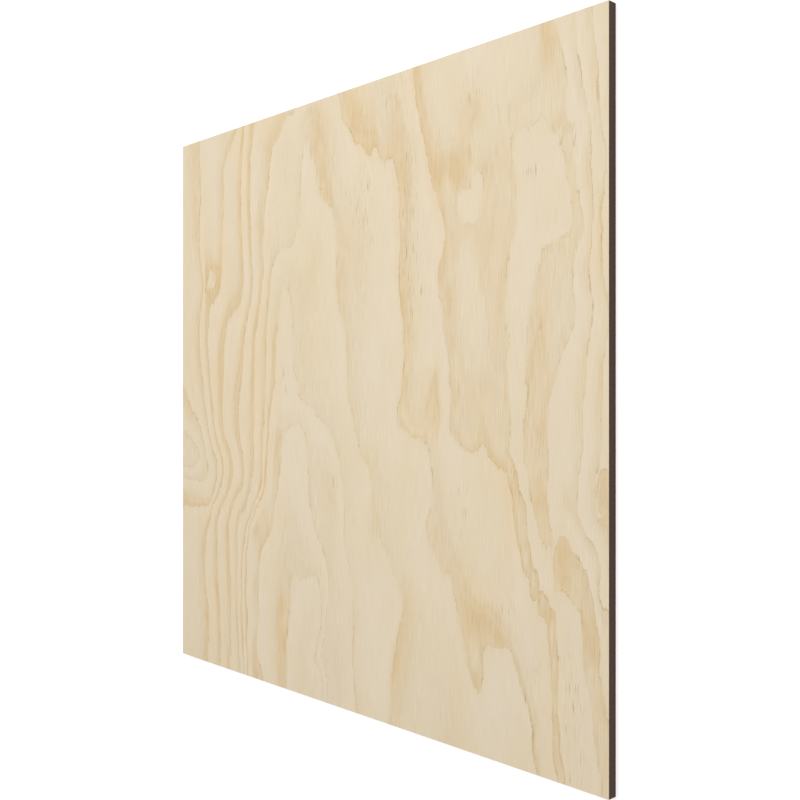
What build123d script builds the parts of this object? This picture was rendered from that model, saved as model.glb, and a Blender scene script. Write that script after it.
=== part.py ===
"""A square veneered wall and craft panel, lying face up on its back.

A dark brown fibreboard core carries a thin pine veneer on its face, and a second
veneer on its back keeps the board from cupping. The three layers are glued up, sawn
square through all of them, and the two outer rims are eased with sandpaper.

All sizes are in millimetres. The origin is at the middle of the back face, +Z points
out of the show face, and the grain of both veneers runs along Y.
"""

import os

from build123d import *

# Driving dimensions
panel_width = 1220.0  # across the grain, a full sheet's width
panel_length = 1220.0  # along the grain, half a sheet's length
panel_thickness = 19.0  # finished, over both veneers
face_veneer_thickness = 0.6
back_veneer_thickness = 0.6
eased_rim = 0.3  # bevel that the sandpaper leaves on each outer rim

# Heights of the glue lines, which every layer takes its place from
back_glue_line = back_veneer_thickness
face_glue_line = panel_thickness - face_veneer_thickness


# Balancing veneer under the core, with its outer rim eased
with BuildPart() as back_veneer:
    with BuildSketch(Plane.XY):
        Rectangle(panel_width, panel_length)
    extrude(amount=back_veneer_thickness)
    back_rim = back_veneer.faces().sort_by(Axis.Z)[0].edges()
    chamfer(back_rim, length=eased_rim)
back_veneer.part.label = "back_veneer"


# Fibreboard core, sawn square, which shows as the dark edge all round
with BuildPart() as core_board:
    with BuildSketch(Plane.XY.offset(back_glue_line)):
        Rectangle(panel_width, panel_length)
    extrude(amount=face_glue_line - back_glue_line)
core_board.part.label = "core_board"


# Show veneer on top of the core, with its outer rim eased
with BuildPart() as face_veneer:
    with BuildSketch(Plane.XY.offset(face_glue_line)):
        Rectangle(panel_width, panel_length)
    extrude(amount=face_veneer_thickness)
    face_rim = face_veneer.faces().sort_by(Axis.Z)[-1].edges()
    chamfer(face_rim, length=eased_rim)
face_veneer.part.label = "face_veneer"


os.makedirs("parts", exist_ok=True)
for layer in (back_veneer, core_board, face_veneer):
    export_step(layer.part, f"parts/{layer.part.label}.step")
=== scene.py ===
# %% [markdown]
# Craft wood panel
# A square board faced with rotary-cut pine lies on its back, and the camera looks down on it.
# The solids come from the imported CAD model: a dark core board between two thin veneers.
# This lesson gives them their looks: the figure of the face, the sawn edge of the core and the plain back.
# The figure is most of the work, because a flat board has little else to show.

import math

import bpy
import numpy as np
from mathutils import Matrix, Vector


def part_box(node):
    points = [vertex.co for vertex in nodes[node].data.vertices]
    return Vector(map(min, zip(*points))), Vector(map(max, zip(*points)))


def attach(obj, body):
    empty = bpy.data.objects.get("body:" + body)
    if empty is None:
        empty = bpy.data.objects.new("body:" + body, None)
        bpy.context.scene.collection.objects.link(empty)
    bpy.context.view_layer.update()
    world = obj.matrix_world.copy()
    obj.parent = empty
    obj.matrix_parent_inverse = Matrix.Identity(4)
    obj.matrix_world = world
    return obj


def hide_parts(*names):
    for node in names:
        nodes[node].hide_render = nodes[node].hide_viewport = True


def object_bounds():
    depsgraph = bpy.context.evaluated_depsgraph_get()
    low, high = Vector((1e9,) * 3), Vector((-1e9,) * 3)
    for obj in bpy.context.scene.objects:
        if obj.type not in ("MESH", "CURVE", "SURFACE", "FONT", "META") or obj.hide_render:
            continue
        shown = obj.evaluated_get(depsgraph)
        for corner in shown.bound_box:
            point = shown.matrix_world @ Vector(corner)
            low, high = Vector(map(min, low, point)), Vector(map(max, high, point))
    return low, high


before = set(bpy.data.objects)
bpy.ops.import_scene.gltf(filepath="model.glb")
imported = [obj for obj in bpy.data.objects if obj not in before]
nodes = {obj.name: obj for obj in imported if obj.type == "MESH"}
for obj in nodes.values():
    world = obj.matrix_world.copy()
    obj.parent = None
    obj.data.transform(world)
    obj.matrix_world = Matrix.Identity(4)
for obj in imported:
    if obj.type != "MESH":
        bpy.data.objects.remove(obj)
cad_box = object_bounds()
MM = 0.001
print("CAD nodes:", sorted(nodes))
print("CAD box in metres:", [[round(value, 4) for value in corner] for corner in cad_box])

# %% [markdown]
# Three helpers carry every material in this file.
# A colour picked on a screen is an sRGB value, but shaders work with linear light, so the first converts it.
# The second adds a node, sets its properties, and fills each input with a number or with a link.
# The third starts an empty material.
# Writing node trees this way keeps each step on a few lines that can be read from top to bottom.

# %% Helpers for colours and nodes
# A mix node has one output for each kind of data, and mixed colours come out of this one.
MIXED_COLOUR = 2


def linear_colour(srgb_hex):
    """Turns a colour such as #E8DABE into the linear red, green, blue and alpha that a shader reads."""
    # The numbers of the curve are those of the sRGB standard.
    channels = []
    for start in (1, 3, 5):
        value = int(srgb_hex[start:start + 2], 16) / 255
        channels.append(value / 12.92 if value <= 0.04045 else ((value + 0.055) / 1.055) ** 2.4)
    return (*channels, 1.0)


def add_node(tree, kind, links=None, stops=(), **settings):
    """Adds a node, sets its properties and colour stops, and gives each named input its value or its link."""
    node = tree.nodes.new(kind)
    for name, value in settings.items():
        setattr(node, name, value)
    for position, colour in stops[1:-1]:
        node.color_ramp.elements.new(position)
    for index, (position, colour) in enumerate(stops):
        node.color_ramp.elements[index].position = position
        node.color_ramp.elements[index].color = linear_colour(colour)
    for name, value in (links or {}).items():
        named = [socket for socket in node.inputs if socket.enabled and socket.name == name]
        socket = named[0] if named else node.inputs[name]
        if isinstance(value, bpy.types.NodeSocket):
            tree.links.new(value, socket)
        else:
            socket.default_value = value
    return node


def new_material(name):
    """Makes an empty node material and returns it with its tree."""
    material = bpy.data.materials.new(name)
    material.use_nodes = True
    material.node_tree.nodes.clear()
    return material, material.node_tree


print("helpers are ready; mid grey in linear light is", round(linear_colour("#808080")[0], 3))

# %% [markdown]
# The photograph looks at the panel from one side, so its far edge is shorter than its near edge.
# That share, and the height of the panel in the picture, give the lens and the place of the camera.
# The panel lies flat here with its face up, so the same view is a camera that leans over its right-hand edge.
# Turning the camera about one axis only keeps the panel's length upright in the picture.

# %% Camera at the photograph's viewing angle
bpy.context.scene.view_settings.view_transform = "Standard"
face_height = cad_box[1][2]
camera_reach = 1.4945
camera_height = face_height + 1.2819
camera_lean = math.radians(46.398)
bpy.ops.object.select_all(action="DESELECT")
bpy.ops.object.camera_add(location=(camera_reach, 0, camera_height), rotation=(0, camera_lean, 0))
camera = bpy.context.object
camera.name = "photo_camera"
camera.data.sensor_width = 36
camera.data.lens = 45
bpy.context.scene.camera = camera
print("camera", tuple(round(value, 3) for value in camera.location), "lens", camera.data.lens, "mm")

# %% [markdown]
# A product photographer would lay the panel on white paper under one large soft box.
# A white world lights it evenly from all round.
# The soft box over the head end makes the light fall off slightly towards the foot, as in the photograph.
# Paper and world are lifted to white only for rays that see them directly, so the panel gets no more light.

# %% Floor
def seen_directly(tree):
    """Returns a socket that is 1 for rays from the camera, a mirror or a glass, and 0 for bounced light."""
    path = add_node(tree, "ShaderNodeLightPath")
    shiny = add_node(tree, "ShaderNodeMath", {0: path.outputs["Is Glossy Ray"],
                                              1: path.outputs["Is Transmission Ray"]}, operation="MAXIMUM")
    seen = add_node(tree, "ShaderNodeMath", {0: path.outputs["Is Camera Ray"],
                                             1: shiny.outputs[0]}, operation="MAXIMUM")
    return seen.outputs[0]


floor_size = 12.0
floor_gap = 0.2 * MM
paper_glow = 0.45
bpy.ops.object.select_all(action="DESELECT")
bpy.ops.mesh.primitive_plane_add(size=floor_size, location=(0, 0, -floor_gap))
floor = bpy.context.object
floor.name = "paper_floor"
paper, tree = new_material("white_studio_paper")
matte = add_node(tree, "ShaderNodeBsdfDiffuse", {"Color": linear_colour("#F0F0F0")})
lift = add_node(tree, "ShaderNodeMath", {0: seen_directly(tree), 1: paper_glow}, operation="MULTIPLY")
glow = add_node(tree, "ShaderNodeEmission", {"Strength": lift.outputs[0]})
both = add_node(tree, "ShaderNodeAddShader", {0: matte.outputs[0], 1: glow.outputs[0]})
add_node(tree, "ShaderNodeOutputMaterial", {"Surface": both.outputs[0]})
floor.data.materials.append(paper)
print("floor", floor_size, "m square, just under the panel")

# %% World and soft box
world_light = 0.5
world = bpy.data.worlds.new("studio_air")
world.use_nodes = True
tree = world.node_tree
tree.nodes.clear()
share = add_node(tree, "ShaderNodeMapRange", {"Value": seen_directly(tree), "To Min": world_light,
                                              "To Max": 1.0})
air = add_node(tree, "ShaderNodeBackground", {"Color": linear_colour("#FFFFFF"),
                                              "Strength": share.outputs[0]})
add_node(tree, "ShaderNodeOutputWorld", {"Surface": air.outputs[0]})
bpy.context.scene.world = world

soft_box_place = (0.1, 1.0, 3.0)
bpy.ops.object.light_add(type="AREA", location=soft_box_place)
soft_box = bpy.context.object
soft_box.name = "soft_box"
soft_box.data.shape = "SQUARE"
soft_box.data.size = 3.0
soft_box.data.energy = 60
print("world", world_light, "soft box", soft_box.data.energy, "W at", soft_box_place)

# %% [markdown]
# The face of the panel is a sheet of veneer peeled from a pine log.
# It could stay a plain slab, but the wood figure needs points all over the face to carry its year rings.
# So it starts as a grid, and its border is pulled out and down for the rim that sandpaper has eased.
# Then the border goes down to the glue line, and one face closes the underside.

# %% Face veneer
low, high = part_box("face_veneer")
sheet_width = high.x - low.x
sheet_length = high.y - low.y
sheet_thickness = high.z - low.z
eased_rim = 0.3 * MM
columns = 300
rows = 110


def extrude_border(drop, spread_width, spread_length):
    """Extrudes the selected border down by drop and scales it to a new width and length about the middle."""
    bpy.ops.mesh.extrude_region_move(TRANSFORM_OT_translate={"value": (0, 0, -drop)})
    bpy.ops.transform.resize(value=(spread_width, spread_length, 1), center_override=(0, 0, 0))


bpy.ops.object.select_all(action="DESELECT")
bpy.ops.mesh.primitive_grid_add(x_subdivisions=columns, y_subdivisions=rows, size=1, location=(0, 0, high.z))
face_sheet = bpy.context.object
face_sheet.name = "pine_face_sheet"
flat_width = sheet_width - 2 * eased_rim
flat_length = sheet_length - 2 * eased_rim
bpy.ops.transform.resize(value=(flat_width, flat_length, 1))
bpy.ops.object.transform_apply(location=True, rotation=True, scale=True)
bpy.ops.object.mode_set(mode="EDIT")
bpy.ops.mesh.select_all(action="SELECT")
bpy.ops.mesh.region_to_loop()
extrude_border(eased_rim, sheet_width / flat_width, sheet_length / flat_length)
extrude_border(sheet_thickness - eased_rim, 1, 1)
bpy.ops.mesh.edge_face_add()
bpy.ops.mesh.select_all(action="SELECT")
bpy.ops.mesh.normals_make_consistent(inside=False)
bpy.ops.object.mode_set(mode="OBJECT")
print("face sheet:", len(face_sheet.data.vertices), "points,", len(face_sheet.data.polygons), "faces")

# %% [markdown]
# A peeled sheet cuts each year ring where the ring's surface meets the knife.
# The figure is therefore a contour map, and its lines are the places where the ring number is a whole one.
# Drawing each line by itself would leave the tone between the lines open.
# Instead the ring number is marked along the lines, and at single spots between them.
# A thin plate bent through all the marks then gives it everywhere.

# %% Growth lines read off the face
growth_marks = []


def growth_line(ring, strength, *place_shares):
    """Marks one line: its ring number, how strong its late wood is, and places as shares across and along."""
    for place_share in place_shares:
        growth_marks.append((ring, strength, place_share))


# A swirl at the left edge, around a knot that the cut just missed.
growth_line(-1, 0.45, (0.0, 0.44), (0.04, 0.42), (0.06, 0.39), (0.04, 0.37), (0.02, 0.37), (0.0, 0.37))
growth_line(0, 0.8, (0.0, 0.53), (0.02, 0.5), (0.035, 0.48), (0.05, 0.47))
growth_line(0, 0.6, (0.07, 0.435), (0.085, 0.4), (0.09, 0.375), (0.08, 0.35), (0.05, 0.345),
            (0.025, 0.345), (0.0, 0.35))
print(len(growth_marks), "marks so far")

# %% Growth lines: close lines down the left side
growth_line(1, 0.7, (0.062, 1.0), (0.064, 0.93), (0.062, 0.85))
growth_line(1, 0.85, (0.065, 0.77), (0.075, 0.72), (0.064, 0.67), (0.06, 0.63), (0.064, 0.59),
            (0.07, 0.55), (0.08, 0.5), (0.092, 0.45), (0.105, 0.415), (0.121, 0.39), (0.123, 0.365),
            (0.117, 0.345), (0.107, 0.318), (0.095, 0.303), (0.06, 0.297), (0.03, 0.292), (0.0, 0.286))
growth_line(2, 0.65, (0.185, 1.0), (0.155, 0.955), (0.144, 0.92), (0.143, 0.87))
growth_line(2, 1.0, (0.138, 0.8), (0.138, 0.745), (0.133, 0.71), (0.105, 0.685), (0.093, 0.65),
            (0.09, 0.61), (0.095, 0.56), (0.104, 0.5), (0.112, 0.455), (0.125, 0.42), (0.14, 0.395),
            (0.144, 0.37), (0.135, 0.335), (0.12, 0.315), (0.108, 0.3), (0.1, 0.275))
growth_line(2, 0.9, (0.09, 0.255), (0.084, 0.22), (0.081, 0.17), (0.093, 0.1), (0.093, 0.05), (0.09, 0.0))
growth_line(3, 1.05, (0.21, 1.0), (0.203, 0.94), (0.2, 0.88), (0.203, 0.8), (0.208, 0.75), (0.206, 0.7),
            (0.193, 0.673), (0.157, 0.645), (0.148, 0.615))
growth_line(3, 0.9, (0.144, 0.56), (0.14, 0.5), (0.14, 0.455), (0.147, 0.43), (0.162, 0.41),
            (0.174, 0.385), (0.172, 0.355), (0.158, 0.325), (0.14, 0.305), (0.128, 0.285), (0.124, 0.25),
            (0.123, 0.17), (0.131, 0.11), (0.132, 0.0))
growth_line(4, 0.88, (0.243, 1.0), (0.23, 0.94), (0.227, 0.87), (0.233, 0.77), (0.238, 0.72), (0.23, 0.67),
            (0.216, 0.63), (0.208, 0.57), (0.197, 0.52), (0.192, 0.47), (0.199, 0.42), (0.21, 0.375),
            (0.204, 0.34), (0.177, 0.31), (0.163, 0.28), (0.162, 0.22), (0.167, 0.15), (0.165, 0.0))
growth_line(5, 0.8, (0.36, 1.0), (0.32, 0.965), (0.298, 0.945), (0.287, 0.905), (0.274, 0.845))
growth_line(5, 0.98, (0.27, 0.79), (0.27, 0.73), (0.262, 0.68), (0.247, 0.62), (0.242, 0.55),
            (0.241, 0.46), (0.24, 0.41))
growth_line(5, 0.7, (0.234, 0.36), (0.222, 0.325), (0.198, 0.29), (0.19, 0.25), (0.188, 0.14), (0.2, 0.0))
print(len(growth_marks), "marks so far")

# %% Growth lines: arches of the middle
growth_line(6, 1.0, (0.213, 0.0), (0.207, 0.06), (0.204, 0.14), (0.206, 0.21), (0.213, 0.25),
            (0.228, 0.286), (0.24, 0.308), (0.253, 0.328), (0.263, 0.35), (0.265, 0.4), (0.27, 0.45))
growth_line(6, 0.65, (0.274, 0.5), (0.277, 0.56), (0.281, 0.64), (0.289, 0.7), (0.297, 0.735))
growth_line(6, 0.32, (0.315, 0.757), (0.345, 0.762), (0.362, 0.782), (0.378, 0.815), (0.376, 0.87),
            (0.38, 0.91), (0.387, 0.935))
growth_line(6, 0.55, (0.397, 0.94), (0.403, 0.92), (0.42, 0.875), (0.43, 0.845), (0.44, 0.828),
            (0.458, 0.817), (0.466, 0.79), (0.472, 0.75), (0.47, 0.7), (0.472, 0.67))
growth_line(6, 0.5, (0.483, 0.64), (0.493, 0.605), (0.497, 0.55), (0.5, 0.505), (0.512, 0.475),
            (0.522, 0.44), (0.533, 0.415), (0.55, 0.395))
growth_line(6, 0.35, (0.557, 0.34), (0.557, 0.305), (0.575, 0.285), (0.595, 0.26), (0.615, 0.22))
growth_line(6, 0.65, (0.628, 0.195), (0.62, 0.155), (0.612, 0.12), (0.603, 0.08), (0.6, 0.03),
            (0.597, 0.0))
growth_line(7, 1.3, (0.223, 0.0), (0.218, 0.07), (0.215, 0.15), (0.218, 0.22), (0.23, 0.277),
            (0.247, 0.303), (0.26, 0.32), (0.273, 0.345), (0.278, 0.38), (0.283, 0.42), (0.287, 0.46))
growth_line(7, 0.9, (0.294, 0.497), (0.301, 0.52), (0.304, 0.55), (0.306, 0.6))
growth_line(7, 0.32, (0.318, 0.665), (0.328, 0.7), (0.345, 0.68), (0.352, 0.63), (0.358, 0.58))
growth_line(7, 0.35, (0.366, 0.53), (0.378, 0.5), (0.395, 0.492), (0.415, 0.485), (0.43, 0.47),
            (0.455, 0.45), (0.47, 0.42), (0.484, 0.375), (0.49, 0.32), (0.49, 0.28), (0.497, 0.245),
            (0.507, 0.215), (0.513, 0.18))
growth_line(7, 0.6, (0.511, 0.12), (0.512, 0.06), (0.52, 0.0))
# The innermost arches.
growth_line(8, 0.75, (0.27, 0.0), (0.258, 0.03), (0.25, 0.08), (0.254, 0.15), (0.258, 0.21), (0.267, 0.24),
            (0.285, 0.26), (0.3, 0.285), (0.303, 0.315), (0.312, 0.35), (0.319, 0.375), (0.32, 0.41))
growth_line(8, 0.4, (0.331, 0.438), (0.346, 0.455), (0.365, 0.46), (0.385, 0.45), (0.393, 0.425),
            (0.397, 0.38), (0.4, 0.33), (0.41, 0.295), (0.43, 0.26), (0.445, 0.225), (0.452, 0.19),
            (0.445, 0.15), (0.442, 0.11), (0.432, 0.085), (0.43, 0.065), (0.442, 0.05), (0.447, 0.03),
            (0.445, 0.0))
growth_line(9, 0.7, (0.337, 0.0), (0.337, 0.05), (0.34, 0.1), (0.345, 0.14))
growth_line(9, 0.4, (0.352, 0.17), (0.356, 0.193), (0.372, 0.199), (0.392, 0.199), (0.407, 0.204),
            (0.418, 0.205), (0.427, 0.19), (0.43, 0.16), (0.43, 0.12), (0.416, 0.08), (0.413, 0.06),
            (0.427, 0.053), (0.433, 0.035), (0.43, 0.0))
print(len(growth_marks), "marks so far")

# %% Growth lines: broad lines to the right of the middle
growth_line(5, 0.8, (0.475, 1.0), (0.484, 0.96), (0.505, 0.935), (0.53, 0.905), (0.555, 0.886),
            (0.568, 0.894), (0.6, 0.874), (0.613, 0.845), (0.621, 0.79), (0.622, 0.73), (0.619, 0.67),
            (0.628, 0.62), (0.63, 0.56), (0.622, 0.51))
growth_line(5, 0.5, (0.616, 0.475), (0.63, 0.455), (0.66, 0.443), (0.68, 0.428), (0.69, 0.395),
            (0.688, 0.35), (0.678, 0.32), (0.683, 0.295), (0.7, 0.27), (0.705, 0.255))
growth_line(5, 0.7, (0.73, 0.243), (0.74, 0.2), (0.755, 0.15), (0.767, 0.11), (0.775, 0.092), (0.788, 0.1),
            (0.79, 0.135), (0.805, 0.157), (0.84, 0.157), (0.853, 0.13), (0.867, 0.095), (0.878, 0.06),
            (0.885, 0.0))
growth_line(4, 1.0, (0.65, 1.0), (0.655, 0.95), (0.663, 0.92), (0.677, 0.87), (0.688, 0.822), (0.7, 0.798),
            (0.711, 0.768), (0.715, 0.745), (0.714, 0.72), (0.701, 0.682))
growth_line(4, 0.6, (0.704, 0.66), (0.711, 0.63), (0.712, 0.6), (0.721, 0.575), (0.726, 0.52),
            (0.725, 0.47), (0.735, 0.447), (0.755, 0.431), (0.79, 0.436))
growth_line(4, 0.9, (0.815, 0.41), (0.835, 0.395), (0.845, 0.36), (0.85, 0.32), (0.86, 0.285),
            (0.873, 0.255), (0.888, 0.237), (0.904, 0.2), (0.909, 0.15), (0.912, 0.1), (0.913, 0.05),
            (0.92, 0.0))
growth_line(4, 0.9, (0.85, 0.408), (0.862, 0.37), (0.87, 0.32), (0.877, 0.285), (0.889, 0.255),
            (0.905, 0.23), (0.918, 0.2), (0.921, 0.15), (0.92, 0.1), (0.924, 0.05), (0.932, 0.0))
print(len(growth_marks), "marks so far")

# %% Growth lines: a pale strip and the lines beside it
growth_line(4, 0.25, (0.9, 0.873), (0.88, 0.868), (0.855, 0.869), (0.842, 0.855))
growth_line(4, 0.5, (0.845, 0.82), (0.85, 0.77), (0.848, 0.73), (0.835, 0.69), (0.832, 0.64),
            (0.836, 0.58), (0.833, 0.53), (0.836, 0.5), (0.84, 0.465), (0.838, 0.435))
growth_line(4, 0.5, (0.925, 0.856), (0.932, 0.82), (0.938, 0.78), (0.944, 0.74))
growth_line(4, 0.4, (0.935, 0.712), (0.905, 0.703), (0.884, 0.665), (0.874, 0.62))
growth_line(4, 0.5, (0.876, 0.585), (0.867, 0.555), (0.869, 0.5), (0.862, 0.46), (0.863, 0.42),
            (0.873, 0.385), (0.882, 0.345), (0.888, 0.32), (0.898, 0.307), (0.912, 0.303), (0.914, 0.27),
            (0.92, 0.25), (0.945, 0.24), (0.957, 0.225), (0.959, 0.2), (0.96, 0.165), (0.97, 0.13),
            (0.977, 0.08), (0.985, 0.04), (0.988, 0.0))
growth_line(4, 0.45, (0.917, 1.0), (0.928, 0.96), (0.936, 0.92), (0.938, 0.86), (0.945, 0.81),
            (0.954, 0.76), (0.962, 0.725), (0.949, 0.695), (0.946, 0.64), (0.942, 0.59), (0.928, 0.56),
            (0.918, 0.53), (0.906, 0.5), (0.904, 0.455), (0.905, 0.42), (0.902, 0.385), (0.907, 0.34))
growth_line(4, 0.75, (0.918, 0.31), (0.95, 0.3), (0.968, 0.275), (0.978, 0.24), (0.986, 0.2),
            (0.986, 0.16), (0.995, 0.12), (1.0, 0.1))
print(len(growth_marks), "marks so far")

# %% Growth lines: a small knot, a pale oval and the right edge
growth_line(2, 1.1, (0.089, 0.728), (0.093, 0.716), (0.105, 0.714), (0.115, 0.72), (0.117, 0.733),
            (0.108, 0.742), (0.095, 0.741))
growth_line(4, 0.5, (0.741, 0.776), (0.744, 0.795), (0.765, 0.797), (0.771, 0.826), (0.785, 0.821),
            (0.787, 0.78), (0.77, 0.749), (0.75, 0.759))
# Thin lines near the right edge.
growth_line(5, 0.65, (0.948, 1.0), (0.953, 0.95), (0.961, 0.9), (0.972, 0.8), (0.976, 0.75), (0.975, 0.71),
            (0.971, 0.65), (0.971, 0.58), (0.966, 0.53), (0.96, 0.48), (0.957, 0.42), (0.952, 0.37),
            (0.955, 0.35), (0.966, 0.33), (0.985, 0.3), (0.988, 0.25), (1.0, 0.235))
growth_line(6, 0.6, (0.975, 1.0), (0.983, 0.93), (0.988, 0.85), (0.991, 0.75), (0.993, 0.65),
            (0.992, 0.55), (0.988, 0.45), (0.98, 0.405), (0.978, 0.375), (0.985, 0.35), (1.0, 0.335))
print(len(growth_marks), "marks along the growth lines")

# %% Spots between the lines
# Each spot has a ring number and a place.
usual_strength = 0.52
spot_shares = ((-1.4, (0.02, 0.4)), (-1.5, (0.0, 0.405)), (0.3, (0.0, 0.8)), (0.3, (0.0, 0.68)),
            (0.3, (0.0, 0.95)), (1.15, (0.0, 0.2)), (1.2, (0.0, 0.05)), (1.25, (0.045, 0.22)),
            (1.3, (0.052, 0.12)), (1.3, (0.05, 0.04)), (1.15, (0.03, 0.25)), (1.75, (0.065, 0.2)),
            (1.8, (0.072, 0.12)), (1.8, (0.07, 0.04)), (1.45, (0.12, 0.95)), (1.45, (0.118, 0.85)),
            (1.5, (0.115, 0.78)), (2.4, (0.175, 0.9)), (2.4, (0.178, 0.8)), (2.55, (0.17, 0.72)),
            (4.4, (0.25, 0.9)), (4.7, (0.255, 0.75)), (5.4, (0.32, 0.86)), (5.45, (0.33, 0.95)),
            (5.45, (0.31, 0.8)), (5.45, (0.36, 0.94)), (6.12, (0.39, 0.87)), (6.2, (0.4, 0.78)),
            (6.4, (0.42, 0.66)), (6.4, (0.44, 0.74)), (6.65, (0.41, 0.75)), (6.5, (0.36, 0.73)),
            (6.25, (0.46, 0.6)), (6.3, (0.47, 0.52)), (6.6, (0.4, 0.55)), (6.55, (0.44, 0.5)),
            (7.1, (0.325, 0.6)), (7.15, (0.33, 0.52)), (7.35, (0.34, 0.48)), (7.3, (0.41, 0.44)),
            (7.5, (0.45, 0.4)), (7.6, (0.47, 0.33)), (7.75, (0.47, 0.11)), (7.45, (0.49, 0.12)),
            (7.6, (0.47, 0.2)), (7.7, (0.48, 0.03)), (7.85, (0.46, 0.06)), (7.1, (0.285, 0.34)),
            (7.7, (0.262, 0.272)), (7.8, (0.283, 0.3)), (7.3, (0.24, 0.22)), (7.3, (0.235, 0.1)),
            (8.15, (0.35, 0.4)), (8.5, (0.35, 0.32)), (8.8, (0.36, 0.24)), (8.5, (0.38, 0.28)),
            (8.75, (0.33, 0.25)), (8.75, (0.39, 0.22)), (8.3, (0.29, 0.18)), (8.4, (0.29, 0.08)),
            (6.12, (0.56, 0.15)), (6.08, (0.585, 0.08)), (6.2, (0.55, 0.03)), (9.12, (0.37, 0.15)),
            (9.55, (0.39, 0.08)), (9.6, (0.37, 0.03)), (5.5, (0.47, 0.93)), (5.15, (0.5, 0.87)),
            (5.08, (0.56, 0.85)), (5.05, (0.6, 0.82)), (5.7, (0.53, 0.78)), (5.45, (0.56, 0.75)),
            (5.12, (0.59, 0.72)), (5.55, (0.53, 0.62)), (5.15, (0.58, 0.62)), (5.15, (0.6, 0.52)),
            (5.25, (0.6, 0.42)), (5.3, (0.64, 0.4)), (5.25, (0.66, 0.35)), (5.2, (0.67, 0.22)),
            (5.45, (0.7, 0.15)), (5.5, (0.66, 0.1)), (5.6, (0.72, 0.05)), (5.2, (0.78, 0.05)),
            (5.15, (0.83, 0.08)), (5.25, (0.82, 0.03)), (4.8, (0.58, 0.91)), (4.6, (0.57, 0.97)),
            (4.7, (0.65, 0.86)), (4.25, (0.67, 0.78)), (4.25, (0.68, 0.7)), (4.5, (0.66, 0.6)),
            (4.2, (0.69, 0.56)), (4.5, (0.66, 0.5)), (4.3, (0.71, 0.44)), (4.75, (0.71, 0.36)),
            (4.35, (0.74, 0.37)), (4.7, (0.73, 0.3)), (4.2, (0.79, 0.26)), (4.75, (0.775, 0.13)),
            (4.25, (0.85, 0.21)), (4.25, (0.88, 0.17)), (4.6, (0.87, 0.13)), (4.3, (0.89, 0.1)),
            (4.35, (0.895, 0.04)), (3.2, (0.78, 0.98)), (3.5, (0.73, 0.9)), (3.85, (0.72, 0.86)),
            (3.85, (0.765, 0.87)), (3.8, (0.72, 0.81)), (4.2, (0.765, 0.778)), (4.08, (0.778, 0.81)),
            (3.75, (0.735, 0.775)), (3.75, (0.765, 0.735)), (3.9, (0.72, 0.68)), (3.3, (0.77, 0.67)),
            (3.35, (0.77, 0.6)), (3.75, (0.8, 0.6)), (3.8, (0.815, 0.55)), (3.9, (0.735, 0.54)),
            (3.75, (0.76, 0.46)), (3.8, (0.82, 0.46)), (3.5, (0.8, 0.9)), (3.7, (0.82, 0.8)),
            (3.6, (0.777, 0.874)), (3.35, (0.752, 0.69)), (3.75, (0.814, 0.68)), (3.78, (0.818, 0.73)),
            (3.3, (0.785, 0.61)), (4.2, (0.714, 0.53)), (4.25, (0.7, 0.6)), (3.9, (0.822, 0.425)),
            (3.85, (0.84, 0.4)), (3.8, (0.853, 0.36)), (3.8, (0.859, 0.32)), (3.8, (0.867, 0.285)),
            (3.75, (0.88, 0.258)), (3.85, (0.897, 0.233)), (3.8, (0.911, 0.2)), (3.8, (0.915, 0.15)),
            (3.8, (0.916, 0.1)), (3.8, (0.918, 0.05)), (3.8, (0.926, 0.0)), (3.75, (0.87, 0.9)),
            (3.8, (0.9, 0.92)), (3.4, (0.85, 0.93)), (3.3, (0.85, 0.98)), (3.6, (0.88, 0.98)),
            (4.2, (0.852, 0.47)), (4.2, (0.855, 0.43)), (4.2, (0.866, 0.385)), (4.2, (0.875, 0.33)),
            (4.2, (0.89, 0.285)), (4.15, (0.905, 0.26)), (4.2, (0.93, 0.225)), (3.88, (0.918, 0.92)),
            (3.85, (0.918, 0.87)), (3.8, (0.935, 0.83)), (3.75, (0.941, 0.79)), (3.75, (0.95, 0.75)),
            (3.85, (0.953, 0.725)), (3.9, (0.903, 0.32)), (3.85, (0.973, 0.15)), (3.8, (0.99, 0.06)),
            (4.25, (0.935, 0.34)), (4.88, (0.94, 0.367)), (4.8, (0.93, 0.366)), (4.2, (0.918, 0.367)),
            (4.3, (0.94, 0.405)), (4.3, (0.94, 0.18)), (4.35, (0.945, 0.08)), (4.4, (0.95, 0.02)),
            (5.3, (0.965, 0.35)), (5.4, (0.975, 0.45)))
for ring, place_share in spot_shares:
    growth_line(ring, usual_strength, place_share)
print(len(growth_marks), "marks with the spots")

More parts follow.
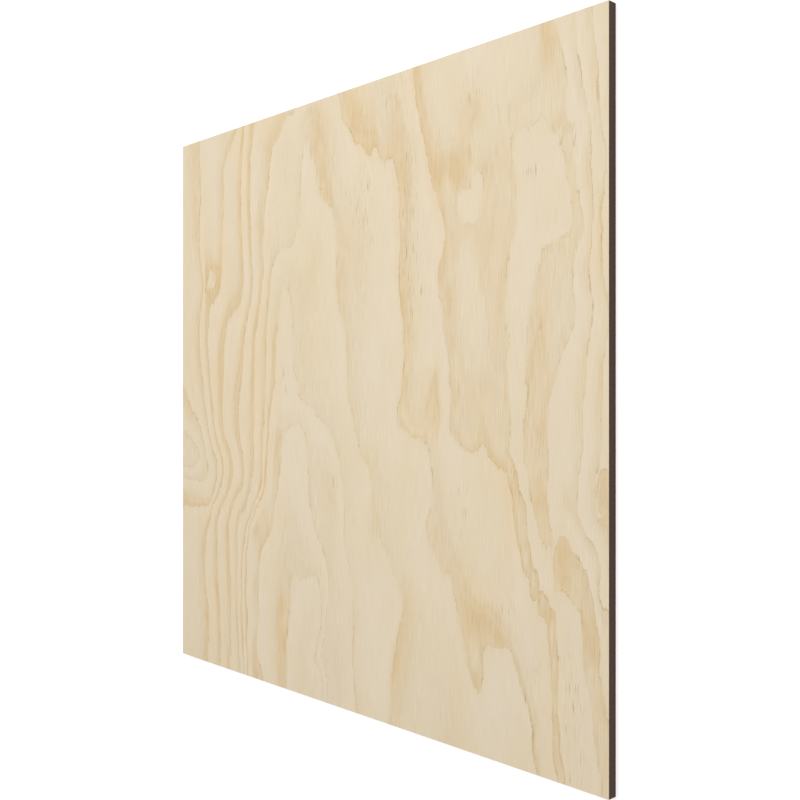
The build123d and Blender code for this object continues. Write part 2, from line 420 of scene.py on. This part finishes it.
# %% Spots with a strength of their own
# Here the wood is bolder or fainter than usual, so each spot has a ring number, a strength and a place.
toned_spot_shares = ((2.3, 0.8, (0.103, 0.728)), (1.9, 1.05, (0.083, 0.745)), (1.9, 1.05, (0.083, 0.715)),
            (1.92, 1.05, (0.095, 0.757)), (1.88, 0.9, (0.112, 0.76)), (1.95, 1.05, (0.1, 0.7)),
            (1.97, 1.05, (0.128, 0.735)), (1.95, 1.05, (0.124, 0.708)), (8.9, 1.0, (0.318, 0.13)),
            (8.9, 1.0, (0.32, 0.05)), (6.35, 0.3, (0.525, 0.1)), (6.3, 0.3, (0.53, 0.2)),
            (6.3, 0.3, (0.512, 0.3)), (5.85, 0.8, (0.43, 0.95)), (5.9, 0.8, (0.405, 0.965)),
            (5.9, 0.7, (0.445, 0.855)), (5.35, 0.4, (0.56, 0.52)), (5.6, 0.4, (0.54, 0.44)),
            (5.35, 0.3, (0.63, 0.33)), (5.35, 0.3, (0.63, 0.26)), (5.85, 0.6, (0.718, 0.01)),
            (5.5, 0.3, (0.66, 0.03)), (4.85, 1.0, (0.52, 0.94)), (4.7, 0.9, (0.615, 0.96)),
            (4.85, 1.0, (0.64, 0.84)), (4.82, 0.85, (0.635, 0.75)), (4.86, 0.9, (0.63, 0.68)),
            (4.85, 1.0, (0.7, 0.49)), (4.2, 0.35, (0.78, 0.36)), (4.15, 0.35, (0.8, 0.3)),
            (4.1, 0.35, (0.82, 0.34)), (4.85, 1.0, (0.77, 0.2)), (4.9, 1.0, (0.795, 0.19)),
            (4.7, 0.9, (0.83, 0.19)), (3.5, 0.5, (0.685, 0.98)), (3.35, 0.4, (0.7, 0.94)),
            (3.25, 0.4, (0.72, 0.97)), (3.92, 1.0, (0.73, 0.82)), (3.85, 0.6, (0.8, 0.77)),
            (3.85, 0.6, (0.815, 0.81)), (3.92, 0.8, (0.73, 0.65)), (3.88, 0.6, (0.785, 0.5)),
            (3.92, 0.7, (0.745, 0.51)), (3.82, 0.65, (0.79, 0.7)), (3.9, 0.9, (0.71, 0.832)),
            (3.93, 0.9, (0.752, 0.832)), (3.92, 0.7, (0.765, 0.85)), (3.85, 0.8, (0.777, 0.893)),
            (3.92, 0.8, (0.731, 0.72)), (3.82, 0.7, (0.792, 0.67)), (4.75, 0.9, (0.697, 0.545)),
            (4.82, 0.9, (0.698, 0.52)), (4.88, 1.0, (0.703, 0.475)), (3.9, 1.1, (0.905, 0.98)),
            (4.1, 0.4, (0.88, 0.8)), (4.12, 0.4, (0.87, 0.75)), (4.12, 0.4, (0.86, 0.66)),
            (4.15, 0.4, (0.855, 0.55)), (3.7, 0.54, (0.915, 0.66)), (3.7, 0.45, (0.92, 0.61)),
            (3.7, 0.45, (0.908, 0.575)), (3.92, 0.85, (0.888, 0.6)), (3.92, 0.85, (0.889, 0.565)),
            (3.85, 0.75, (0.893, 0.53)), (3.88, 0.8, (0.893, 0.45)), (3.95, 1.1, (0.893, 0.37)),
            (3.85, 1.0, (0.93, 0.27)), (3.9, 1.2, (0.97, 0.2)), (4.2, 0.3, (0.93, 0.48)),
            (4.15, 0.3, (0.92, 0.43)), (4.25, 0.3, (0.96, 0.85)), (4.25, 0.3, (0.962, 0.6)),
            (5.3, 0.3, (0.985, 0.8)), (5.3, 0.3, (0.986, 0.6)), (5.88, 1.2, (0.988, 0.38)),
            (5.8, 1.1, (1.0, 0.38)))
for ring, strength, place_share in toned_spot_shares:
    growth_line(ring, strength, place_share)
print(len(growth_marks), "marks in all")

# %% [markdown]
# A thin metal plate that is pinned at some heights bends as little as it can in between.
# Read as a height, the ring number gets the same calm way from mark to mark.
# One equation for each mark says how hard the plate is pulled there, and solving them all gives the pulls.
# Wood figure is drawn out along the grain, so distances along it count for less than half.

# %% Thin plate through the marks
ALONG_SQUEEZE = 0.45
SMALLEST_SQUARE = 1e-12


def plate_pull(gaps):
    """How far one mark bends a thin plate at some distance: the distance squared times its logarithm."""
    squares = (gaps ** 2).sum(-1)
    return squares * np.log(np.maximum(squares, SMALLEST_SQUARE))


def with_slope_terms(places):
    """Adds the constant and the two slopes of the flat plate that the marks bend."""
    return np.column_stack([np.ones(len(places)), places])


marks = np.array([place for ring, strength, place in growth_marks]) * (1, ALONG_SQUEEZE)
readings = np.array([(ring, strength) for ring, strength, place in growth_marks])
slopes = with_slope_terms(marks)
plate = np.block([[plate_pull(marks[:, None] - marks[None]), slopes], [slopes.T, np.zeros((3, 3))]])
solution = np.linalg.solve(plate, np.concatenate([readings, np.zeros((3, 2))]))
pulls = solution[:len(marks)]
tilts = solution[len(marks):]
print("plate bent through", len(marks), "marks")


# %% Ring number and strength at every point of the sheet
def read_plate(places, slices=60):
    """Ring number and strength at each place, in slices so that the distances fit in memory."""
    results = []
    for part in np.array_split(places, slices):
        results.append(plate_pull(part[:, None] - marks[None]) @ pulls + with_slope_terms(part) @ tilts)
    return np.concatenate(results)


points = np.empty(len(face_sheet.data.vertices) * 3)
face_sheet.data.vertices.foreach_get("co", points)
shares = (points.reshape(-1, 3)[:, :2] - (low.x, low.y)) / (sheet_width, sheet_length) * (1, ALONG_SQUEEZE)
here = read_plate(shares)
step = 1 * MM
across = (read_plate(shares + (step / sheet_width, 0)) - here) / step
along = (read_plate(shares + (0, step / sheet_length * ALONG_SQUEEZE)) - here) / step
print("ring numbers run from", here[:, 0].min().round(2), "to", here[:, 0].max().round(2))

# %% [markdown]
# Resin canals run along the grain and show as brown dashes, but only in groups here and there.
# Scattered dashes would look even, so the middle and half size of each group are listed, as shares.
# A group is full in its middle and fades out to one and a half times its half size.

# %% Groups of resin canals
fade_end = 1.5
canal_group_shares = (((0.605, 0.965), (0.03, 0.04)), ((0.505, 0.825), (0.015, 0.03)),
                      ((0.54, 0.81), (0.025, 0.06)), ((0.64, 0.75), (0.02, 0.16)),
                      ((0.46, 0.89), (0.01, 0.02)), ((0.535, 0.66), (0.01, 0.025)),
                      ((0.52, 0.32), (0.007, 0.015)), ((0.46, 0.36), (0.012, 0.025)),
                      ((0.33, 0.535), (0.012, 0.035)), ((0.315, 0.82), (0.006, 0.03)),
                      ((0.255, 0.83), (0.012, 0.015)), ((0.77, 0.935), (0.02, 0.015)),
                      ((0.775, 0.89), (0.012, 0.01)), ((0.88, 0.803), (0.014, 0.014)),
                      ((0.755, 0.375), (0.012, 0.012)), ((0.755, 0.32), (0.006, 0.03)),
                      ((0.83, 0.205), (0.02, 0.02)), ((0.87, 0.11), (0.008, 0.02)),
                      ((0.885, 0.14), (0.008, 0.02)), ((0.945, 0.08), (0.018, 0.10)),
                      ((0.845, 0.40), (0.012, 0.012)), ((0.888, 0.595), (0.006, 0.03)),
                      ((0.892, 0.44), (0.006, 0.03)), ((0.937, 0.575), (0.006, 0.012)),
                      ((0.107, 0.727), (0.022, 0.025)), ((0.672, 0.765), (0.008, 0.014)),
                      ((0.667, 0.665), (0.006, 0.014)), ((0.825, 0.905), (0.02, 0.008)))
resin_shares = np.zeros(len(shares))
for centre, half_size in canal_group_shares:
    apart = (shares / (1, ALONG_SQUEEZE) - centre) / half_size
    resin_shares = np.maximum(resin_shares, (fade_end - np.hypot(apart[:, 0], apart[:, 1])).clip(0, 1))
print(len(canal_group_shares), "groups of resin canals cover", resin_shares.mean().round(3), "of the face")

# %% Store them on the sheet
strongest = 1.4
ring_layer = face_sheet.data.attributes.new("ring_number", "FLOAT", "POINT")
ring_layer.data.foreach_set("value", here[:, 0])
strength_layer = face_sheet.data.attributes.new("late_wood_strength", "FLOAT", "POINT")
strength_layer.data.foreach_set("value", here[:, 1].clip(0, strongest))
slope_layer = face_sheet.data.attributes.new("ring_slope", "FLOAT_VECTOR", "POINT")
slope_layer.data.foreach_set("vector", np.column_stack([across[:, 0], along[:, 0], 0 * here[:, 0]]).ravel())
resin_layer = face_sheet.data.attributes.new("resin_share", "FLOAT", "POINT")
resin_layer.data.foreach_set("value", resin_shares)
print("attributes:", [layer.name for layer in face_sheet.data.attributes if not layer.name.startswith(".")])

# %% [markdown]
# The finish of both veneers is bare pine: peeled from the log, sanded and left without varnish.
# To the eye it is dull and pale, with tan lines where the years end and fine streaks along the grain.
# A painted image would go soft close up, so the streaks come from noise that is stretched along the grain.
# Each kind of streak gives that noise its own width and length in millimetres.

# %% Noise along the grain
def grain_noise(tree, place, width, length, detail, roughness=0.5):
    """Adds noise whose blotches are about as wide and as long as given, so it reads as streaks."""
    stretched = add_node(tree, "ShaderNodeMapping", {"Vector": place, "Scale": (1 / width, 1 / length, 1)})
    return add_node(tree, "ShaderNodeTexNoise", {"Vector": stretched.outputs[0], "Scale": 1.0,
                                                 "Detail": detail, "Roughness": roughness})


# Noise lies between 0 and 1, and nearly always within this span about its middle.
noise_span = {"From Min": 0.3, "From Max": 0.7}
noise_middle = 0.5
print("streaks can be drawn at any width and length")

# %% [markdown]
# Each year starts with pale early wood and ends in tan late wood, which stops sharply at the next spring.
# The fraction of the ring number is the time of year, so one ramp from pale to tan draws every line at once.
# Where the late wood is strong it starts abruptly and draws a band, and elsewhere the tan comes on slowly.
# Real late wood is uneven, so bundles of fibres lag behind in the year, and strands and blotches fade it.

# %% Colours of a year
year_colours = ((0.0, "#E2D1AF"), (0.02, "#E7D8BC"), (0.06, "#EADCC4"), (0.35, "#E8D9BF"), (0.6, "#E2D2B4"),
                (0.8, "#DECBAA"), (0.92, "#DEC8A1"), (1.0, "#DBC093"))
mid_colour = linear_colour("#E6D6B9")
resin_tone = linear_colour("#FEF7EA")


def late_wood(tree, year, strength):
    """How late in the year the wood grew: 0 for early wood, and up to 1 for late wood."""
    band = add_node(tree, "ShaderNodeMapRange", {"Value": year, "From Min": 0.5, "From Max": 0.82,
                                                 "To Min": 0.05, "To Max": 0.86},
                    interpolation_type="SMOOTHSTEP")
    abrupt = add_node(tree, "ShaderNodeMapRange", {"Value": strength, "From Min": 0.6, "From Max": 1.2})
    late = add_node(tree, "ShaderNodeMix", {"Factor": abrupt.outputs[0], "A": year, "B": band.outputs[0]},
                    data_type="FLOAT")
    return late.outputs[0]


def year_colour(tree, place, ring, late, strength):
    """Pale to tan through the year, uneven as in real wood."""
    bundle = grain_noise(tree, place, width=5 * MM, length=120 * MM, detail=3.0)
    lag = add_node(tree, "ShaderNodeMapRange", {"Value": bundle.outputs["Fac"], **noise_span,
                                                "To Min": 0.8, "To Max": 1.12})
    streaked = add_node(tree, "ShaderNodeMath", {0: late, 1: lag.outputs[0]}, operation="MULTIPLY")
    ramp = add_node(tree, "ShaderNodeValToRGB", {"Fac": streaked.outputs[0]}, stops=year_colours)

    # Strands follow the year's line, a sixth of a ring wide, and blotches are about as wide as a thumb.
    strand_ring_share = 1 / 6
    axes = add_node(tree, "ShaderNodeSeparateXYZ", {0: place})
    ring_place = add_node(tree, "ShaderNodeCombineXYZ", {"X": ring, "Y": axes.outputs["Y"]})
    strand = grain_noise(tree, ring_place.outputs[0], width=strand_ring_share, length=140 * MM, detail=4.0)
    strand_fade = add_node(tree, "ShaderNodeMapRange", {"Value": strand.outputs["Fac"], **noise_span,
                                                        "To Min": 0.2, "To Max": 1.5})
    blotch = grain_noise(tree, place, width=22 * MM, length=65 * MM, detail=5.0, roughness=0.65)
    blotch_fade = add_node(tree, "ShaderNodeMapRange", {"Value": blotch.outputs["Fac"], **noise_span,
                                                        "To Min": 0.4, "To Max": 1.45})
    patchy = add_node(tree, "ShaderNodeMath", {0: strand_fade.outputs[0], 1: blotch_fade.outputs[0]},
                      operation="MULTIPLY")
    share = add_node(tree, "ShaderNodeMath", {0: strength, 1: patchy.outputs[0]}, operation="MULTIPLY",
                     use_clamp=True)
    wood = add_node(tree, "ShaderNodeMix", {"Factor": share.outputs[0], "A": mid_colour,
                                            "B": ramp.outputs["Color"]}, data_type="RGBA")
    return wood.outputs[MIXED_COLOUR]


def resin_toned(tree, colour, late, strength):
    """Tints wood with strong late wood orange, as resin does, and most of all late in the year."""
    much = add_node(tree, "ShaderNodeMapRange", {"Value": strength, "From Min": 0.4, "From Max": 1.0})
    later = add_node(tree, "ShaderNodeMapRange", {"Value": late, "To Min": 0.6, "To Max": 1.0})
    resinous = add_node(tree, "ShaderNodeMath", {0: much.outputs[0], 1: later.outputs[0]},
                        operation="MULTIPLY")
    toned = add_node(tree, "ShaderNodeMix", {"Factor": resinous.outputs[0], "A": colour, "B": resin_tone},
                     data_type="RGBA", blend_type="MULTIPLY")
    return toned.outputs[MIXED_COLOUR]


print("a year runs through", len(year_colours), "colours")

# %% [markdown]
# Close up, pine shows its fibres, and short brown dashes where the knife cut resin canals open.
# Fibres are some 0.03 mm wide and canals 0.2 mm, so both are drawn coarser, as bundles a render can show.
# They could be modelled as grooves, but sandpaper has levelled them, so only colour and bump change.

# %% Fibres and resin canals
def fibre_streaks(tree, place, late):
    """Streaks that lighten and darken the wood, most in patches and in late wood, which the knife tears."""
    fibre = grain_noise(tree, place, width=1.4 * MM, length=45 * MM, detail=4.0)
    torn = add_node(tree, "ShaderNodeMapRange", {"Value": late, "From Min": 0.1, "From Max": 0.7,
                                                 "To Min": 0.16, "To Max": 0.36})
    patch = grain_noise(tree, place, width=35 * MM, length=110 * MM, detail=3.0)
    rough = add_node(tree, "ShaderNodeMapRange", {"Value": patch.outputs["Fac"], **noise_span,
                                                  "To Min": 0.25, "To Max": 1.6})
    depth = add_node(tree, "ShaderNodeMath", {0: torn.outputs[0], 1: rough.outputs[0]},
                     operation="MULTIPLY")
    offset = add_node(tree, "ShaderNodeMath", {0: fibre.outputs["Fac"], 1: noise_middle},
                      operation="SUBTRACT")
    streak = add_node(tree, "ShaderNodeMath", {0: offset.outputs[0], 1: depth.outputs[0], 2: 1.0},
                      operation="MULTIPLY_ADD")
    return fibre.outputs["Fac"], streak.outputs[0]


def canal_dashes(tree, place, resin_share):
    """How far a resin canal shows at each place, within the groups that resin_share gives."""
    canal = grain_noise(tree, place, width=2.2 * MM, length=36 * MM, detail=1.0)
    middle = add_node(tree, "ShaderNodeMapRange", {"Value": canal.outputs["Fac"], "From Min": 0.6,
                                                   "From Max": 0.74, "To Min": 0.0, "To Max": 0.7})
    dash = add_node(tree, "ShaderNodeMath", {0: middle.outputs[0], 1: resin_share}, operation="MULTIPLY")
    return dash.outputs[0]


print("fibres and canals are ready")

# %% [markdown]
# The surface puts the colours together and adds the feel of sanded wood.
# Sandpaper polishes hard late wood a little and leaves soft early wood dull, so gloss follows the year.
# The bump is as shallow as fibres that stand up after sanding, a tenth of a millimetre.
# Bare wood has an index of refraction near 1.5, and its pores scatter much of the gloss away.

# %% Sanded pine
crushed_tone = linear_colour("#DFD8CE")
canal_colour = linear_colour("#B08E5E")


def finish_pine(tree, place, ring, strength, resin_share, outline):
    """Puts the colours, fibres and canals of sanded pine together and links them to the surface."""
    year = add_node(tree, "ShaderNodeMath", {0: ring}, operation="FRACT").outputs[0]
    late = late_wood(tree, year, strength)
    wood = resin_toned(tree, year_colour(tree, place, ring, late, strength), late, strength)
    fibre, streak = fibre_streaks(tree, place, late)

    # The last cells of a year are crushed flat, which draws a thin grey-brown outline where the year ends.
    outlined = add_node(tree, "ShaderNodeMix", {"Factor": outline, "A": wood, "B": crushed_tone},
                        data_type="RGBA", blend_type="MULTIPLY")
    dashes = canal_dashes(tree, place, resin_share)
    marked = add_node(tree, "ShaderNodeMix", {"Factor": dashes, "A": outlined.outputs[MIXED_COLOUR],
                                              "B": canal_colour}, data_type="RGBA")

    # Heart and sap wood drift in saturation over the width of the sheet.
    drift = grain_noise(tree, place, width=120 * MM, length=420 * MM, detail=2.0)
    richness = add_node(tree, "ShaderNodeMapRange", {"Value": drift.outputs["Fac"], **noise_span,
                                                     "To Min": 0.92, "To Max": 1.08})
    tinted = add_node(tree, "ShaderNodeHueSaturation", {"Color": marked.outputs[MIXED_COLOUR],
                                                        "Value": streak, "Saturation": richness.outputs[0]})
    polish = add_node(tree, "ShaderNodeMapRange", {"Value": year, "To Min": 0.68, "To Max": 0.52})
    relief = add_node(tree, "ShaderNodeBump", {"Height": fibre, "Strength": 0.25, "Distance": 0.1 * MM})
    surface = add_node(tree, "ShaderNodeBsdfPrincipled", {
        "Base Color": tinted.outputs["Color"], "Roughness": polish.outputs[0], "IOR": 1.5,
        "Specular IOR Level": 0.3, "Normal": relief.outputs["Normal"]})
    add_node(tree, "ShaderNodeOutputMaterial", {"Surface": surface.outputs["BSDF"]})


print("pine is ready for the face and the back")

# %% [markdown]
# On the face, the ring number and its slope come from the sheet's own points.
# A frayed line is read a little to the side and a good way along the grain from where it should be.
# A stored value can't be read elsewhere, but its slope says how the ring number changes on the way.
# So the push times the slope is added, and lines across the grain fray far more than those along it.

# %% Frayed rings on the face
fray_size = {"width": 14 * MM, "length": 55 * MM, "detail": 4.0, "roughness": 0.72}
fray_across = 8 * MM
fray_along = 16 * MM
face_pine, tree = new_material("sanded_pine_face")
place = add_node(tree, "ShaderNodeTexCoord").outputs["Object"]
rings = add_node(tree, "ShaderNodeAttribute", attribute_name="ring_number").outputs["Fac"]
slope = add_node(tree, "ShaderNodeAttribute", attribute_name="ring_slope").outputs["Vector"]
strength = add_node(tree, "ShaderNodeAttribute", attribute_name="late_wood_strength").outputs["Fac"]
resin = add_node(tree, "ShaderNodeAttribute", attribute_name="resin_share").outputs["Fac"]
fray = grain_noise(tree, place, **fray_size)
push = add_node(tree, "ShaderNodeVectorMath", {0: fray.outputs["Color"],
                                               1: (2 * fray_across, 2 * fray_along, 0),
                                               2: (-fray_across, -fray_along, 0)}, operation="MULTIPLY_ADD")
change = add_node(tree, "ShaderNodeVectorMath", {0: push.outputs[0], 1: slope}, operation="DOT_PRODUCT")
frayed = add_node(tree, "ShaderNodeMath", {0: rings, 1: change.outputs["Value"]}, operation="ADD")

# Faint lines also break up into splinters, as if the tan had run along single bundles of fibres.
splinter = grain_noise(tree, place, width=4 * MM, length=90 * MM, detail=2.0)
sideways = add_node(tree, "ShaderNodeMath", {0: splinter.outputs["Fac"], 1: noise_middle},
                    operation="SUBTRACT")
faintness = add_node(tree, "ShaderNodeMapRange", {"Value": strength, "From Min": 0.3, "From Max": 0.8,
                                                  "To Min": 0.22, "To Max": 0.04})
splintered = add_node(tree, "ShaderNodeMath", {0: sideways.outputs[0], 1: faintness.outputs[0],
                                               2: frayed.outputs[0]}, operation="MULTIPLY_ADD")
print("lines fray by up to", fray_across / MM, "mm across and", fray_along / MM, "mm along the grain")

# %% [markdown]
# Where a year ends, a hairline of crushed cells runs along the line, broken into stretches.
# The rest of the year, divided by the slope, is the distance to the line, so the hairline keeps its width.
# It is fainter on the strong lines, whose dark band hides it.

# %% Outline where a year ends
outline_width = 2.4 * MM
year = add_node(tree, "ShaderNodeMath", {0: splintered.outputs[0]}, operation="FRACT")
rest = add_node(tree, "ShaderNodeMath", {0: 1.0, 1: year.outputs[0]}, operation="SUBTRACT")
steepness = add_node(tree, "ShaderNodeVectorMath", {0: slope}, operation="LENGTH")
distance = add_node(tree, "ShaderNodeMath", {0: rest.outputs[0], 1: steepness.outputs["Value"]},
                    operation="DIVIDE")
thin_line = add_node(tree, "ShaderNodeMapRange", {"Value": distance.outputs[0], "From Max": outline_width,
                                                  "To Min": 1.0, "To Max": 0.0})
gaps = grain_noise(tree, place, width=40 * MM, length=70 * MM, detail=2.0)
stretch = add_node(tree, "ShaderNodeMapRange", {"Value": gaps.outputs["Fac"], "From Min": 0.42,
                                                "From Max": 0.62})
faded = add_node(tree, "ShaderNodeMapRange", {"Value": strength, "From Min": 0.8, "From Max": 1.1,
                                              "To Min": 1.0, "To Max": 0.5})
patches = add_node(tree, "ShaderNodeMath", {0: stretch.outputs[0], 1: faded.outputs[0]},
                   operation="MULTIPLY")
outline = add_node(tree, "ShaderNodeMath", {0: thin_line.outputs[0], 1: patches.outputs[0]},
                   operation="MULTIPLY")
finish_pine(tree, place, splintered.outputs[0], strength, resin, outline.outputs[0])
face_sheet.data.materials.append(face_pine)
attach(face_sheet, "root")
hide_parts("face_veneer")
print(face_sheet.name, "carries", face_pine.name, "with", len(tree.nodes), "nodes")

# %% [markdown]
# The back veneer only balances the face, and the photograph doesn't show it, so any figure of pine will do.
# Slow noise serves as its ring number, because contour lines of smooth noise look like a peeled log too.
# The recipe for bare pine is the same, and the hairline is left out, because no slope is stored there.

# %% Pine on the back
log_width = 330 * MM
log_length = 900 * MM
rings_in_log = 18.0
back_pine, tree = new_material("sanded_pine_back")
place = add_node(tree, "ShaderNodeTexCoord").outputs["Object"]
fray = grain_noise(tree, place, **fray_size)
push = add_node(tree, "ShaderNodeVectorMath", {0: fray.outputs["Color"],
                                               1: (2 * fray_across, 2 * fray_along, 0),
                                               2: place}, operation="MULTIPLY_ADD")
log = grain_noise(tree, push.outputs[0], width=log_width, length=log_length, detail=1.5)
rings = add_node(tree, "ShaderNodeMath", {0: log.outputs["Fac"], 1: rings_in_log}, operation="MULTIPLY")
calm = add_node(tree, "ShaderNodeMapRange", {"Value": log.outputs["Fac"], "To Min": 0.5, "To Max": 0.8})
group = grain_noise(tree, place, width=45 * MM, length=130 * MM, detail=1.0)
resin = add_node(tree, "ShaderNodeMapRange", {"Value": group.outputs["Fac"], "From Min": 0.48,
                                              "From Max": 0.66})
finish_pine(tree, place, rings.outputs[0], calm.outputs[0], resin.outputs[0], 0.0)
back_sheet = nodes["back_veneer"]
back_sheet.data.materials.clear()
back_sheet.data.materials.append(back_pine)
print(back_sheet.name, "carries", back_pine.name, "with", len(tree.nodes), "nodes")

# %% [markdown]
# The core shows only at the sawn edges, dark brown and without plies, so it is taken for a dyed fibreboard.
# Such board is wood ground to fibres, dyed and pressed with resin, with a denser, darker skin on each side.
# A saw leaves fine upright marks on it, and pale fibres that the dye missed show as specks.
# The CAD solid already has the right shape, so it keeps its mesh and only gets this finish.

# %% Colour of the dyed fibreboard
layer_colours = ((0.0, "#49362D"), (0.12, "#513E36"), (0.5, "#57443C"), (0.88, "#513E36"), (1.0, "#49362D"))
speck_across = 1.2 * MM
speck_deep = 0.5 * MM
speck_scale = (1 / speck_across, 1 / speck_across, 1 / speck_deep)
speck_colour = linear_colour("#7C6450")
core = nodes["core_board"]
core_low, core_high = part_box("core_board")
board, tree = new_material("sawn_dyed_fibreboard")
place = add_node(tree, "ShaderNodeTexCoord").outputs["Object"]
axes = add_node(tree, "ShaderNodeSeparateXYZ", {0: place})
depth = add_node(tree, "ShaderNodeMapRange", {"Value": axes.outputs["Z"], "From Min": core_low.z,
                                              "From Max": core_high.z})
layers = add_node(tree, "ShaderNodeValToRGB", {"Fac": depth.outputs[0]}, stops=layer_colours)
speck_place = add_node(tree, "ShaderNodeMapping", {"Vector": place, "Scale": speck_scale})
speck = add_node(tree, "ShaderNodeTexNoise", {"Vector": speck_place.outputs[0], "Scale": 1.0,
                                              "Detail": 4.0})
missed = add_node(tree, "ShaderNodeMapRange", {"Value": speck.outputs["Fac"], "From Min": 0.55,
                                               "From Max": 0.8, "To Min": 0.0, "To Max": 0.35})
mottled = add_node(tree, "ShaderNodeMix", {"Factor": missed.outputs[0], "A": layers.outputs["Color"],
                                           "B": speck_colour}, data_type="RGBA")
print("core from", round(core_low.z / MM, 1), "to", round(core_high.z / MM, 1), "mm above the floor")

# %% Saw marks and surface of the core
tooth_pitch = 1.6 * MM
around = add_node(tree, "ShaderNodeMath", {0: axes.outputs["X"], 1: axes.outputs["Y"]}, operation="ADD")
tooth = add_node(tree, "ShaderNodeMath", {0: around.outputs[0], 1: tooth_pitch}, operation="PINGPONG")
saw_mark = add_node(tree, "ShaderNodeMapRange", {"Value": tooth.outputs[0], "From Max": tooth_pitch,
                                                 "To Min": 0.3, "To Max": 0.7})
rough_edge = add_node(tree, "ShaderNodeMath", {0: saw_mark.outputs[0], 1: speck.outputs["Fac"]},
                      operation="ADD")
relief = add_node(tree, "ShaderNodeBump", {"Height": rough_edge.outputs[0], "Strength": 0.4,
                                           "Distance": 0.15 * MM})
dull = add_node(tree, "ShaderNodeMapRange", {"Value": speck.outputs["Fac"], "To Min": 0.7, "To Max": 0.9})
surface = add_node(tree, "ShaderNodeBsdfPrincipled", {
    "Base Color": mottled.outputs[MIXED_COLOUR], "Roughness": dull.outputs[0], "IOR": 1.5,
    "Specular IOR Level": 0.25, "Normal": relief.outputs["Normal"]})
add_node(tree, "ShaderNodeOutputMaterial", {"Surface": surface.outputs["BSDF"]})
core.data.materials.clear()
core.data.materials.append(board)
print(core.name, "carries", board.name, "with", len(tree.nodes), "nodes")
